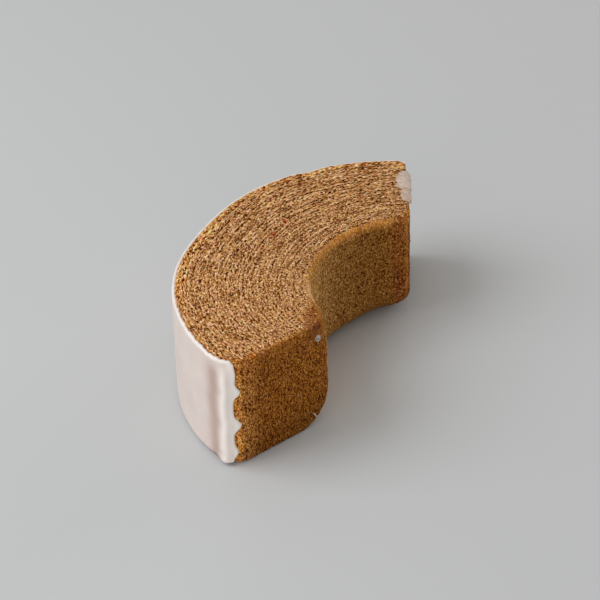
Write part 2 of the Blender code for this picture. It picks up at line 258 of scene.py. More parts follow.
def block(columns, rows, levels):
    shape = counted_grid(columns, rows)
    for vert in shape.verts:
        vert.co.z = levels - 1
    border = [edge for edge in shape.edges if edge.is_boundary]
    for level in reversed(range(levels - 1)):
        drawn = bmesh.ops.extrude_edge_only(shape, edges=border)["geom"]
        for vert in only(drawn, bmesh.types.BMVert):
            vert.co.z = level
        border = [edge for edge in only(drawn, bmesh.types.BMEdge) if edge.is_boundary]
    bmesh.ops.contextual_create(shape, geom=border)
    return shape


def skin(columns, rows):
    shape = counted_grid(columns, rows)
    made = bmesh.ops.extrude_face_region(shape, geom=shape.faces[:], use_keep_orig=True)
    for vert in only(made["geom"], bmesh.types.BMVert):
        vert.co.z = 1.0
    return shape


# %% [markdown]
# ## Arrays in and out of a mesh
#
# A loop over a hundred thousand vertices is slow. `foreach_get` reads them into one array and
# `foreach_set` writes them back, so a form is a formula. What a finish has to know about a place
# goes into an attribute.


# %% Places, noise and the finished piece
def fill(mesh, shape):
    """Write a shape into a mesh, with its faces turned outwards."""
    bmesh.ops.recalc_face_normals(shape, faces=shape.faces)
    shape.to_mesh(mesh)
    shape.free()
    return mesh


def mesh_of(shape, name):
    return fill(bpy.data.meshes.new(name), shape)


def face_outwards(mesh):
    shape = bmesh.new()
    shape.from_mesh(mesh)
    fill(mesh, shape)


def triples(items, name):
    values = np.zeros(3 * len(items))
    items.foreach_get(name, values)
    return values.reshape(-1, 3)


def get_spots(mesh):
    return triples(mesh.vertices, "co")


def get_normals(mesh):
    return triples(mesh.vertex_normals, "vector")


def counted_mesh(shape, name):
    """A mesh, the whole numbers that its vertices stand at, and these as shares of the last."""
    mesh = mesh_of(shape, name)
    counts = np.rint(get_spots(mesh)).astype(int)
    return mesh, counts, (counts / counts.max(axis=0)).T


def set_spots(mesh, spots):
    """Place the vertices, given in millimetres around the ring's axis."""
    mesh.vertices.foreach_set("co", ((spots + AXIS) * MM).ravel())
    mesh.update()


def store(mesh, name, values):
    layer = mesh.attributes.new(name, "FLOAT", "POINT")
    layer.data.foreach_set("value", np.asarray(values, np.float32))


def store_place(mesh, name, *lengths):
    """A place in a pattern of the piece's own, as three lengths in millimetres."""
    layer = mesh.attributes.new(name, "FLOAT_VECTOR", "POINT")
    layer.data.foreach_set("vector", np.stack(lengths, axis=1).astype(np.float32).ravel())


def noise_at(spots, size, seed):
    """Smooth noise from about -1 to 1, whose hills are about one size wide."""
    shifted = spots / size + np.array((seed, -seed, 0.5 * seed))
    return np.array([noise.noise(Vector(spot)) for spot in shifted])


def flat_noise(first, second, size, seed):
    return noise_at(np.stack([first, second, 0.0 * first], axis=1), size, seed)


def polar(radius, angle, height):
    return np.stack([radius * np.cos(angle), radius * np.sin(angle), height], axis=1)


def add_object(name, data):
    made = bpy.data.objects.new(name, data)
    bpy.context.scene.collection.objects.link(made)
    return made


def show(mesh, name, material, node):
    """An object for the finished mesh, which may stand for a node of the frame."""
    mesh.materials.append(material)
    mesh.shade_smooth()
    piece = add_object(name, mesh)
    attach(piece, "root")
    if node:
        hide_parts(node)
    print(name, "has", len(mesh.vertices), "vertices")
    return piece


print("a place in the noise:", noise_at(np.zeros((1, 3)), 1.0, 2.5).round(3))

# %% [markdown]
# ## Shader sums as Python
#
# A material's nodes could be joined by hand, but a formula is easier to read. `Socket` wraps a
# node's output, so that `1 - mask * 0.3` adds the Math nodes for itself, and `step` is the soft
# step as a node.


# %% Sockets
class Socket:
    """An output of a node that takes part in Python expressions."""

    def __init__(self, finish, output):
        self.finish = finish
        self.output = output

    def math(self, operation, first, second, clamp=False):
        settings = {"operation": operation, "use_clamp": clamp}
        return self.finish.node("Math", settings, {0: first, 1: second})

    def __add__(self, other):
        return self.math("ADD", self, other)

    __radd__ = __add__

    def __mul__(self, other):
        return self.math("MULTIPLY", self, other)

    __rmul__ = __mul__

    def __sub__(self, other):
        return self.math("SUBTRACT", self, other)

    def __rsub__(self, other):
        return self.math("SUBTRACT", other, self)

    def __pow__(self, other):
        return self.math("POWER", self, other)

    def other(self, index):
        """Another output of the same node."""
        return Socket(self.finish, self.output.node.outputs[index])

    def clamped(self):
        return self.math("ADD", self, 0.0, clamp=True)

    def step(self, start, end):
        """0 at start and 1 at end, smooth in between."""
        settings = {"interpolation_type": "SMOOTHSTEP"}
        values = {"Value": self, "From Min": start, "From Max": end}
        return self.finish.node("MapRange", settings, values)


# %% [markdown]
# ## Finishes
#
# A finish is a material on a Principled shader. Its `node` method makes any kind of node:
# settings first, then the sockets' values or links. Colours and places go through Mix and Vector
# Math, because a Math node turns them grey. Sizes are in millimetres.


# %% Finishes
class Finish:
    def __init__(self, name):
        self.material = bpy.data.materials.new(name)
        self.material.use_nodes = True
        self.tree = self.material.node_tree
        self.shader = self.tree.nodes["Principled BSDF"]
        self.place = self.node("TexCoord", output="Object")

    def put(self, socket, value):
        if isinstance(value, Socket):
            self.tree.links.new(value.output, socket)
        else:
            socket.default_value = value

    def node(self, kind, settings=None, values=None, output=0):
        made = self.tree.nodes.new("ShaderNode" + kind)
        for name, value in (settings or {}).items():
            setattr(made, name, value)
        for name, value in (values or {}).items():
            self.put(made.inputs[name], value)
        return Socket(self, made.outputs[output])

    def attribute(self, name, output="Fac"):
        return self.node("Attribute", {"attribute_name": name}, output=output)

    def vector(self, operation, first, second):
        return self.node("VectorMath", {"operation": operation}, {0: first, 1: second})

    def noise(self, size, detail=2.0, rough=0.5, place=None):
        """Noise from 0 to 1 whose grains are about one size wide."""
        values = {"Vector": place, "Scale": 1.0 / size, "Detail": detail, "Roughness": rough}
        if place is None:
            values.update({"Vector": self.place, "Scale": 1.0 / (size * MM)})
        return self.node("TexNoise", None, values)

    def cells(self, size, place, output="Distance"):
        """Distance from the middle of the nearest of many cells, 0 to about 0.6."""
        return self.node("TexVoronoi", None, {"Vector": place, "Scale": 1.0 / size}, output)

    def each_cell(self, colours):
        """A random value for each cell, from its colour."""
        return self.node("SeparateColor", None, {0: colours})

    def blend(self, low, high, share):
        settings = {"data_type": "RGBA"}
        return self.node("Mix", settings, {0: share, 6: low, 7: high}, output=2)

    def set(self, **values):
        for name, value in values.items():
            self.put(self.shader.inputs[name.replace("_", " ")], value)

    def relief(self, height, depth):
        """Turn a height from 0 to 1 into a bump of that depth, in millimetres."""
        values = {"Height": height, "Distance": depth * MM}
        self.set(Normal=self.node("Bump", None, values))

    def soften(self, weight, *depths):
        """Let light in, to these depths in millimetres for red, green and blue."""
        radius = tuple(depth * MM for depth in depths)
        self.set(Subsurface_Weight=weight, Subsurface_Radius=radius, Subsurface_Scale=1.0)

    def made(self):
        print(self.material.name, "has", len(self.tree.nodes), "nodes")
        return self.material


# %% [markdown]
# ## The crumb's colours
#
# Baked batter isn't one brown: the cut top is sandy, the hole's wall duller and the edges golden.
# The cut ends have a darker, redder copy of the crumb's colour, which is painted shade. A painted
# picture would blur close up. So each area has one mean colour, an attribute says where it lies,
# and each area covers the ones before it.

# %% Crumb colours
TOP = (0.537, 0.244, 0.077, 1.0)
# The cut ends: a darker, redder copy of the crumb's colour as painted shade, and a still darker
# copy for painted shade towards the foot.
SHADED_WALL = (0.285, 0.090, 0.0105, 1.0)
SHADED_WALL_LOW = (0.195, 0.061, 0.007, 1.0)
HOLE_NEAR = (0.590, 0.284, 0.070, 1.0)
HOLE_FAR = (0.252, 0.097, 0.0155, 1.0)
RIM_GOLD = (0.660, 0.275, 0.065, 1.0)
RIM_BROWN = (0.500, 0.200, 0.045, 1.0)
BROWN = (0.360, 0.126, 0.020, 1.0)
GOLD = (0.720, 0.300, 0.080, 1.0)
# A painted highlight along the hole's top edge.
LIP_HIGHLIGHT = (1.000, 0.600, 0.300, 1.0)
TOAST = (0.260, 0.080, 0.014, 1.0)
DARK_BROWN = (0.130, 0.030, 0.015, 1.0)
RED_BROWN = (0.380, 0.070, 0.020, 1.0)
ORANGE = (0.700, 0.210, 0.015, 1.0)


def mean_colour(finish, hue, open_crumb, hole_wall):
    hole = finish.blend(HOLE_FAR, HOLE_NEAR, finish.attribute("near"))
    # The cut ends' colour is painted shade, darker towards the foot.
    colour = finish.blend(SHADED_WALL_LOW, SHADED_WALL, finish.attribute("height_share"))
    colour = finish.blend(finish.blend(colour, hole, hole_wall), TOP, open_crumb)
    areas = {
        "brown": BROWN,
        "crust": GOLD,
        "rim": finish.blend(RIM_BROWN, RIM_GOLD, hue + 0.5),
        "lip_highlight": LIP_HIGHLIGHT,
        "toast": TOAST,
        "dark_spot": DARK_BROWN,
        "red_spot": RED_BROWN,
        "orange_spot": ORANGE,
    }
    for name, over in areas.items():
        colour = finish.blend(colour, over, finish.attribute(name))
    return colour


# %% [markdown]
# ## The crumb's pores and grain
#
# Crumb is a sponge of light walls around dark pores, which lie in rows, as the coats of batter
# do. A plain Voronoi texture would scatter them. So `row_place` counts the rows, and a
# one-dimensional Voronoi texture sets the pores along each. The glints are cells too: painted
# highlights, small bright spots in the colour. The knife drew streaks along the rows.

# %% Pores, grains and streaks
ROW_WANDER = 1.4
ROW_SHIFT = 7.37
PORE_NARROW = 1.8
PORE_EDGE = (0.42, 0.14)
WALL_PORE_SIZE = 1.40
WALL_PORE_EDGE = (0.46, 0.10)
WALL_PORE = 0.30
CLOSED_WALL = 0.35
GLINT_SIZE = 1.30
GLINT_EDGE = (0.42, 0.12)
STREAK_SIZE = 0.6
STREAK_SHARE = 0.10
STREAK_LIGHT = (0.9, 1.7)


def pores_in_rows(finish, place, row_place):
    """1 in the pores of a sponge whose rows follow the rings, 0 on its walls."""
    rows = finish.node("SeparateXYZ", None, {0: row_place})
    row = rows + (finish.noise(1.5, 3.0, 0.6, place) - 0.5) * ROW_WANDER
    whole = finish.node("Math", {"operation": "FLOOR"}, {0: row})
    along = rows.other(1) + whole * ROW_SHIFT
    settings = {"voronoi_dimensions": "1D"}
    away = finish.node("TexVoronoi", settings, {"W": along, "Scale": 1.0})
    across = (row - whole - 0.5) * PORE_NARROW
    pore = ((across * across + away * away) ** 0.5).step(*PORE_EDGE)
    return pore * (0.45 + finish.each_cell(away.other(1)) * 0.75)


def pits(finish, place, along_rings, row_place, wall, ring_line):
    in_rows = pores_in_rows(finish, place, row_place) * (0.65 + ring_line * 0.45)
    anywhere = finish.cells(WALL_PORE_SIZE, along_rings).step(*WALL_PORE_EDGE) * WALL_PORE
    return mix(anywhere, in_rows, finish.attribute("rows")) * (1.0 - wall * CLOSED_WALL)


# Glints: small highlights painted into the crumb's colour.
def glints(finish, along_rings):
    place = finish.vector("ADD", along_rings, (7.3, 7.3, 7.3))
    glint = finish.cells(GLINT_SIZE, place).step(*GLINT_EDGE)
    return glint * (0.3 + finish.each_cell(finish.cells(GLINT_SIZE, place, "Color")) * 1.1)


def streaks(finish, row_place, open_crumb):
    place = finish.vector("MULTIPLY", row_place, (1.0, STREAK_SHARE, 0.0))
    streak = finish.noise(STREAK_SIZE, place=place) - 0.5
    on_wall, more_on_top = STREAK_LIGHT
    return streak * finish.attribute("drawn") * (on_wall + open_crumb * more_on_top)


# %% [markdown]
# ## The crumb's light and shade
#
# A pore could be a blend towards black, but that looks like soot, and light from deep in the
# crumb is redder. So one value, `light`, says how bright a spot is beside its area's mean colour,
# and green and blue follow it by steeper curves.

# %% Crumb finish
RING_STRETCH = (1.9, 0.75, 1.0)
GRAIN_SIZE = 0.54
CURL_SIZE = 1.7
PATCH_SIZE = 7.0
HUE_SIZE = 3.4
GRAIN_LIGHT = 1.6
CURL_LIGHT = (0.9, 1.5)
GLINT_LIGHT = (1.2, 1.4)
PIT_LIGHT = 1.4
PATCH_LIGHT = 0.35
LINE_LIGHT = 0.14
CONTRAST = 1.10
DARKEST = 0.06
BRIGHTEST = 2.6
GREEN_POWER = 0.95
BLUE_POWER = 2.8
CRUMB_DEPTH = 0.40


def light_law(finish, light, hue):
    """Red, green and blue shares of the mean colour for a spot of this brightness."""
    pale = light * (0.5 + light * 0.5) ** -1.0
    green = light * pale**GREEN_POWER * (1.0 + hue * 0.07)
    blue = light * pale**BLUE_POWER * (1.0 - hue * 0.16)
    return finish.node("CombineXYZ", None, {0: light, 1: green, 2: blue})


def crumb_finish():
    finish = Finish("baked_crumb")
    place = finish.attribute("crumb_place", "Vector")
    row_place = finish.attribute("row_place", "Vector")
    along_rings = finish.vector("MULTIPLY", place, RING_STRETCH)
    open_crumb = finish.attribute("open_crumb")
    hole_wall = finish.attribute("roller_side")
    ring_line = finish.attribute("ring_line")
    wall = 1.0 - open_crumb
    pit = pits(finish, place, along_rings, row_place, wall, ring_line)
    glint = glints(finish, along_rings)
    streak = streaks(finish, row_place, open_crumb)
    grain = finish.each_cell(finish.cells(GRAIN_SIZE, along_rings, "Color")) - 0.5
    patch = finish.noise(PATCH_SIZE, place=place) - 0.5
    curl = finish.noise(CURL_SIZE, 3.0, 0.6, along_rings) - 0.5
    hue = finish.noise(HUE_SIZE, 3.0, 0.6, place).step(0.38, 0.62) - 0.5
    strong = 1.0 - finish.attribute("closed") * 0.5 - hole_wall * 0.3
    light = grain * GRAIN_LIGHT + curl * mix(*CURL_LIGHT, wall)
    # The glints add painted highlights.
    light = light + glint * mix(*GLINT_LIGHT, wall) - pit * PIT_LIGHT + streak
    light = 1.0 + patch * PATCH_LIGHT + light * strong * CONTRAST - ring_line * LINE_LIGHT
    light = light.math("MINIMUM", light.math("MAXIMUM", light, DARKEST), BRIGHTEST)
    colour = mean_colour(finish, hue, open_crumb, hole_wall)
    colour = finish.vector("MULTIPLY", colour, light_law(finish, light, hue))
    colour = finish.vector("MINIMUM", colour, (1.0, 1.0, 1.0))
    finish.set(Base_Color=colour, Roughness=0.85, Specular_IOR_Level=0.04)
    finish.relief((glint * 0.5 - pit + curl + streak) * strong + grain * 0.3, CRUMB_DEPTH)
    return finish.made()


CRUMB = crumb_finish()

# %% [markdown]
# ## Points of the cake
#
# The block has eight columns to a ring and a row for every half millimetre. A coarser one with a
# displacement texture would be lighter, but the texture wouldn't know the rings. Here every
# vertex knows its ring and its distance from each edge.

# %% Levels and distances
CAKE_COLUMNS = 8 * LAYERS + 1
CAKE_ROWS = 321
FOOT_STEPS = 14
WALL_STEPS = 39
BROW_STEPS = 6
GROOVE_HALF = 0.3
MIDDLE_RADIUS = 60.0
WANDER_SIZE = 4.0
SMEARED_TURN = (192.0, 214.0)


def fade(value, start, end):
    """1 at start and 0 at end."""
    return 1.0 - soft_step(value, start, end)


def cake_levels():
    foot = max(HOLE_FOOT)
    brow = HOLE_TOP[0]
    low_turn = np.linspace(0.0, math.pi / 2, FOOT_STEPS, endpoint=False)
    high_turn = np.linspace(0.0, math.pi / 2, BROW_STEPS, endpoint=False)
    middle = np.linspace(foot, HEIGHT - brow, WALL_STEPS, endpoint=False)
    high = HEIGHT - brow * (1.0 - np.sin(high_turn))
    return np.concatenate([foot * (1.0 - np.cos(low_turn)), middle, high, [HEIGHT]])


class CakePoints:
    """Where each vertex of the cake lies, as distances in millimetres from the cake's edges."""

    def __init__(self, across, along, height):
        radius, angle = softened_point(across, along, height)
        self.height = height
        self.spots = polar(radius, angle, height)
        self.wander = noise_at(self.spots, WANDER_SIZE, 9.0)
        self.turn = np.degrees(angle)
        self.arc = angle * MIDDLE_RADIUS
        self.from_hole = radius - hole_radius(angle)
        self.from_outer = outer_radius(angle) - radius
        self.from_far = radius * (angle - far_angle(radius))
        self.from_front = radius * (front_angle(radius) - angle)
        self.from_top = HEIGHT - height
        self.past_corner = (1.0 - across) * RING_WIDTH + self.wander
        self.at_top = height == HEIGHT
        self.at_end = (np.minimum(along, 1.0 - along) == 0.0) & ~self.at_top
        self.at_hole = (across == 0.0) & ~self.at_top & ~self.at_end
        self.layer = LAYERS * self.from_hole / (self.from_hole + self.from_outer)
        to_line = np.abs(self.layer - np.clip(np.rint(self.layer), 1, LAYERS - 1))
        self.groove = np.clip(1.0 - to_line / GROOVE_HALF, 0.0, 1.0)
        self.drawn = 1.0 - 0.7 * soft_step(self.turn, *SMEARED_TURN)


print("levels of the cake:", len(cake_levels()))

# %% [markdown]
# ## The cake's relief
#
# Between two coats runs a fine line, and the crumb around it is rough. Bump alone would leave the
# outline smooth. So each vertex moves along its normal: down into a line, and in and out with
# noise. The hole's wall was baked against the roller, so it is smoother than the cuts. Under the
# icing the relief only goes inwards.

# %% Relief
TOP_GROOVE = 0.35
END_GROOVE = 0.22
TOP_SWELL = 0.25
HOLE_SWELL = 0.35
SWELL_LENGTH = 17.0
TOP_ROUGH = 0.20
END_ROUGH = 0.16
HOLE_ROUGH = 0.08
OUTER_ROUGH = 0.10
FLAT_FOOT = 1.5


def crumb_relief(spots):
    """Height of the crumb's grain, from about -1 in a pore to 1 on a lump."""
    grain = noise_at(spots, 1.3, 2.0)
    lumps = noise_at(spots, 3.1, 5.0)
    return np.clip(1.2 * grain + 0.4 * lumps, -1.0, 1.0)


def cake_lift(at):
    """How far each vertex moves out along its normal, in millimetres."""
    swell = noise_at(at.spots, SWELL_LENGTH, 3.0)
    rough = crumb_relief(at.spots)
    top = TOP_SWELL * swell - TOP_GROOVE * at.groove * at.drawn + TOP_ROUGH * rough
    end = END_ROUGH * rough - END_GROOVE * at.groove
    hole = HOLE_SWELL * swell + HOLE_ROUGH * rough
    outer = np.minimum(OUTER_ROUGH * rough, 0.0)
    lift = np.select([at.at_top, at.at_end, at.at_hole], [top, end, hole], outer)
    return lift * soft_step(at.height, 0.0, FLAT_FOOT)


# %% [markdown]
# ## Browned areas
#
# Heat browned the cake's skin, and the cuts show it as bands, golden along the icing and around
# the hole. They could be painted by hand, but a formula of the distance from an edge keeps its
# width, and noise makes it wander.

# %% Bands
BAND_SPAN = (1.2, 3.6)
BAND_WIDE_TURN = (195.0, 35.0)
BAND_DEPTH = (1.0, 3.0)
BAND_END_TURN = (203.0, 224.0)
RIM_SPAN = (0.9, 3.4)
RIM_DEPTH = (1.0, 3.8)
RIM_NARROWS = (20.0, 60.0)
RIM_PALES = (25.0, 55.0)
FRONT_RIM_SPAN = (0.5, 4.0)
FRONT_RIM_DEPTH = (0.5, 4.5)
SHOULDER_SPAN = (11.0, 17.0)
SHOULDER_DEPTH = (4.0, 9.0)
STRIP_SPAN = (3.0, 5.5)
STRIP_FADE = (6.0, 15.0)
STRIP_DEPTH = (4.0, 9.0)
LIP_CENTRE = (0.7, 0.9)
LIP_STARTS = (2.0, 5.0)
LIP_ENDS = (16.0, 27.0)
LIP_DEPTH = (3.0, 6.0)


def golden_band(at):
    wide = bump(at.turn, *BAND_WIDE_TURN)
    start, end = BAND_SPAN
    band = fade(at.from_outer + 1.2 * at.wander, start + wide, end + 1.6 * wide)
    band = band * fade(at.from_top, *BAND_DEPTH)
    return band * (1.0 - 0.8 * soft_step(at.turn, *BAND_END_TURN))


def hole_rim(at):
    width = mix(1.0, 0.6, soft_step(at.from_far, *RIM_NARROWS))
    rim = fade((at.from_hole + 1.2 * at.wander) / width, *RIM_SPAN)
    rim = rim * fade(at.from_top + 1.5 * at.wander, *RIM_DEPTH)
    return rim * (1.0 - 0.6 * soft_step(at.from_far, *RIM_PALES))


def front_rim(at):
    rim = fade(at.from_front + at.wander, *FRONT_RIM_SPAN)
    return rim * fade(at.from_top + at.wander, *FRONT_RIM_DEPTH)


def front_shoulder(at):
    """The closed, browned corner between the hole and the front cut."""
    away = np.hypot(at.from_hole, at.from_front) + 1.5 * at.wander + 2.0 * at.at_top
    return fade(away, *SHOULDER_SPAN) * fade(at.from_top + at.wander, *SHOULDER_DEPTH)


def beside_icing(at):
    """The lighter strip of the front cut that runs down beside the icing."""
    strip = 0.95 - 0.60 * soft_step(at.past_corner, *STRIP_SPAN)
    strip = strip - 0.35 * soft_step(at.past_corner, *STRIP_FADE)
    strip = strip * (0.6 + 0.4 * soft_step(at.from_top, *STRIP_DEPTH))
    return strip * at.at_end * (at.from_front < at.from_far)


def painted_lip_highlight(at):
    """A painted highlight: a thin lighter line where the hole's wall meets the top, as if it
    caught the light.
    """
    lip_highlight = bump(at.from_hole, *LIP_CENTRE) * fade(at.from_front, *LIP_ENDS)
    return lip_highlight * soft_step(at.from_front, *LIP_STARTS) * fade(at.from_top, *LIP_DEPTH)


# %% [markdown]
# ## Spots of the bake
#
# Here and there the batter scorched: dark on the front's corner, reddish along a ring, orange at
# the edges. A noise texture would strew such spots anywhere. So these few are set one by one,
# each with its place, radius and strength.

# %% Spots
DARK_SPOTS = (
    (-12.5, -39.3, 43.5, 3.9, 0.64),
    (-13.5, -41.0, 40.0, 3.0, 0.50),
    (-11.2, -39.8, 36.0, 2.2, 0.45),
)
RED_SPOTS = (
    (-50.7, 17.2, 44.0, 1.4, 1.00),
    (-50.9, 14.0, 44.0, 1.0, 0.65),
    (-51.3, 7.4, 44.0, 1.5, 0.95),
    (-51.5, 4.6, 44.0, 1.0, 0.70),
    (-51.6, -2.1, 44.0, 1.3, 0.80),
    (-51.0, -5.0, 44.0, 1.0, 0.35),
    (-43.6, 29.9, 44.0, 1.2, 0.45),
    (-31.6, 3.5, 43.0, 1.4, 0.50),
)
ORANGE_SPOTS = (
    (-25.1, -64.1, 43.5, 1.7, 0.40),
    (-11.3, 40.5, 43.5, 1.8, 0.60),
    (-25.5, 22.0, 43.5, 1.6, 0.40),
    (-9.5, 34.8, 6.0, 2.2, 0.60),
    (-13.0, 32.5, 3.0, 1.8, 0.45),
    (-24.5, -71.0, 42.5, 1.6, 0.45),
)


def spots_at(at, places):
    """How strongly one of several soft round spots covers each point."""
    cover = np.zeros(len(at.spots))
    for *place, radius, strength in places:
        away = np.linalg.norm(at.spots - np.array(place), axis=1) / radius
        cover = np.maximum(cover, strength * fade(away + 0.5 * at.wander, 0.4, 1.2))
    return cover


print("spots of the bake:", len(DARK_SPOTS) + len(RED_SPOTS) + len(ORANGE_SPOTS))

# %% [markdown]
# ## Building the cake
#
# The block is placed, lifted into its relief and given its areas. Pictures could carry them, but
# an attribute needs no unwrapping: it holds one value for each vertex. `crumb_place` unrolls the
# arc, so that a pattern runs along the rings, and `row_place` counts the rows of pores.

# %% Areas and the cake
ROWS_PER_LAYER = 2
WALL_ROW = 1.8
PORE_PITCH = 2.0


def largest(*shares):
    return np.max(shares, axis=0)


def crumb_areas(at):
    """The share of each area at every vertex, by the name that the finish reads."""
    rim, strip, lip_highlight = hole_rim(at), beside_icing(at), painted_lip_highlight(at)
    shoulder, edge = front_shoulder(at), front_rim(at)
    behind_rim = shoulder * (at.from_hole > 1.6)
    open_crumb = at.at_top * soft_step(at.from_hole + at.wander, 0.6, 2.6)
    corner = at.at_hole * fade(at.from_far, 1.0, 2.2)
    seam = bump(at.from_far, 4.4, 0.6) * at.at_hole * fade(at.height, 20.0, 26.0)
    far_tip = at.at_top * fade(np.hypot(at.from_hole, at.from_far) + at.wander, 3.0, 9.0)
    toasted = bump(at.from_far, 4.2, 2.6) * at.at_hole
    upper_wall = at.at_hole * soft_step(at.height + 4.0 * at.wander, 8.0, 22.0)
    covered = shoulder * (1.0 - 0.6 * at.at_top)
    return {
        "open_crumb": open_crumb,
        "roller_side": at.at_hole,
        "closed": largest(covered, 0.8 * edge, 0.75 * rim, corner, lip_highlight),
        "brown": largest(0.9 * behind_rim, 0.6 * edge, 0.5 * far_tip),
        "crust": golden_band(at),
        "rim": largest(0.85 * rim, 0.9 * corner, strip),
        "lip_highlight": lip_highlight,
        "toast": largest(0.95 * toasted, 0.5 * behind_rim * at.at_top),
        "dark_spot": largest(spots_at(at, DARK_SPOTS), 0.5 * seam),
        "red_spot": spots_at(at, RED_SPOTS),
        "orange_spot": largest(spots_at(at, ORANGE_SPOTS), 0.4 * strip * (at.past_corner < 5.0)),
        "near": soft_step(at.from_far, 12.0, 60.0),
        "height_share": soft_step(at.height + 1.5 * at.wander, 1.0, 17.0),
        "drawn": at.drawn,
        "ring_line": at.groove * at.drawn * (at.at_top + 0.6 * at.at_end),
        "rows": largest(open_crumb, 0.7 * upper_wall, 0.35 * at.at_end),
    }


def build_cake():
    levels = cake_levels()
    grid = block(CAKE_COLUMNS, CAKE_ROWS, len(levels))
    mesh, counts, (across, along, _) = counted_mesh(grid, "cake_crumb")
    at = CakePoints(across, along, levels[counts[:, 2]])
    set_spots(mesh, at.spots)
    face_outwards(mesh)
    set_spots(mesh, at.spots + get_normals(mesh) * cake_lift(at)[:, None])
    for name, values in crumb_areas(at).items():
        store(mesh, name, values)
    row = ROWS_PER_LAYER * at.layer + 0.5 + at.at_hole * at.from_top / WALL_ROW
    along_row = (at.arc + at.at_end * at.from_top) / PORE_PITCH
    store_place(mesh, "crumb_place", at.from_hole, at.arc, at.height)
    store_place(mesh, "row_place", row, along_row, 0.0 * at.arc)
    return show(mesh, "cake_crumb", CRUMB, "cake")


cake = build_cake()
print("cake box in mm:", np.round(1000 * np.array(cake.bound_box)[[0, 6]], 1))

# %% [markdown]
# ## The icing's finish
#
# Sugar icing sets to a thin, milky skin. It is a little glossy, and light goes some way into it.
# A clear shader would be slow and noisy. So subsurface gives the softness, and thin places have a
# warmer colour.

# %% Icing colours
MILK = (0.735, 0.638, 0.600, 1.0)
GREY_PINK = (0.640, 0.520, 0.470, 1.0)
THIN = (0.720, 0.600, 0.530, 1.0)
# A painted highlight for the ridge and the icing's edges, and painted shade for the valley behind
# the ridge.
RIDGE_HIGHLIGHT = (0.910, 0.835, 0.790, 1.0)
VALLEY_SHADE = (0.490, 0.355, 0.310, 1.0)


def icing_finish():
    finish = Finish("sugar_icing")
    thickness = finish.attribute("thickness")
    cloud = finish.noise(9.0)
    grain = finish.noise(0.6)
    colour = finish.blend(GREY_PINK, MILK, (0.1 + cloud * 1.2).clamped())
    colour = finish.blend(THIN, colour, thickness.step(0.0, 1.0))
    # Painted highlight on the ridge and edges, painted shade in the valley.
    colour = finish.blend(colour, RIDGE_HIGHLIGHT, finish.attribute("ridge"))
    colour = finish.blend(colour, VALLEY_SHADE, finish.attribute("valley") * (0.7 + cloud * 0.5))
    finish.set(Base_Color=colour, Roughness=0.32 + 0.12 * cloud)
    finish.soften(0.15, 0.6, 0.35, 0.25)
    finish.relief(grain * 0.3 + cloud, 0.25)
    return finish.made()


ICING = icing_finish()

# %% [markdown]
# ## The icing
#
# The icing hangs on the outer side. A thickened copy of that side would be even and
# straight-edged. So a point of the skin is found from its distance along the side, whose
# direction is read from two probes. That also takes the skin round the corners.

# %% Points on the outer side
PROBE = 0.05


def skin_point(distance, height, lift):
    near = []
    for place in (distance - PROBE, distance + PROBE):
        over = np.maximum(place - OUTER_LENGTH, 0.0) + np.maximum(-place, 0.0)
        along = np.clip(place / OUTER_LENGTH, 0.0, 1.0)
        radius, angle = softened_point(1.0 - over / RING_WIDTH, along, height)
        near.append(polar(radius, angle, height))
    ahead = near[1] - near[0]
    ahead /= np.linalg.norm(ahead, axis=1)[:, None]
    outward = np.stack([ahead[:, 1], -ahead[:, 0], np.zeros(len(ahead))], axis=1)
    return (near[0] + near[1]) / 2 + outward * lift[:, None]


print("outer side in mm:", round(OUTER_LENGTH, 1))

# %% [markdown]
# ## The icing's edges
#
# The icing ran down while the ring lay on its side. So drops scallop its front edge, with a ridge
# and a shallow valley behind them, and the top edge sags towards both ends. Sculpting could do
# it, but here each is a hill or a step.

# %% Drops, sag and ridges
ICING_THICKNESS = 0.75
ICING_EDGE = 0.35
ICING_FOOT = 0.5
ICING_TOP = HEIGHT - 0.1
ICING_ROUND = 1.5
ICING_SWELL = 0.22
ICING_SWELL_LENGTH = 9.0
RIDGES = ((1.2, 4.2, 2.3), (-0.5, 9.8, 3.0))
RIDGE_FADE = 8.0
FRONT_REACH = -1.0
FRONT_DROPS = (
    (2.0, 38.0, 5.0),
    (4.5, 30.7, 2.5),
    (5.2, 16.8, 3.1),
    (1.0, 10.0, 2.5),
    (3.5, 5.2, 3.0),
)
RIDGE_WAVE = 0.12
FAR_SAG = 0.3
FAR_SAG_SPAN = (70.0, 48.0)
FRONT_SAG = 1.2
FRONT_SAG_SPAN = 5.0
SAG_DEPTH = 14.0
FRONT_LIFT = 0.9
FRONT_LIFT_SPAN = (24.0, 6.0)
LIFT_DEPTH = 8.0
FAR_REACH = 1.6
FAR_WAVE = 0.8
FAR_WAVES = 3.0
TOP_WAVE = 0.4


def front_edge(height):
    return FRONT_REACH + sum(drop * bump(height, *place) for drop, *place in FRONT_DROPS)


def far_edge(height):
    return FAR_REACH + FAR_WAVE * np.sin(FAR_WAVES * math.tau * height / HEIGHT)


def icing_top(distance):
    far = FAR_SAG * soft_step(distance, *FAR_SAG_SPAN)
    to_front = np.maximum(OUTER_LENGTH + FRONT_REACH - distance, 0.0)
    front = FRONT_SAG * (1.0 - round_rise(to_front, FRONT_SAG_SPAN))
    wave = TOP_WAVE * (0.5 + 0.25 * np.sin(0.83 * distance) + 0.25 * np.sin(2.1 * distance + 1.0))
    return ICING_TOP - far - front - wave


def icing_height(level, distance):
    height = mix(ICING_FOOT, ICING_TOP, level)
    sag = ICING_TOP - icing_top(distance)
    lift = FRONT_LIFT * soft_step(OUTER_LENGTH - distance, *FRONT_LIFT_SPAN)
    sunk = height - sag * soft_step(height, ICING_TOP - SAG_DEPTH, ICING_TOP)
    return sunk + lift * fade(height, ICING_FOOT, LIFT_DEPTH)


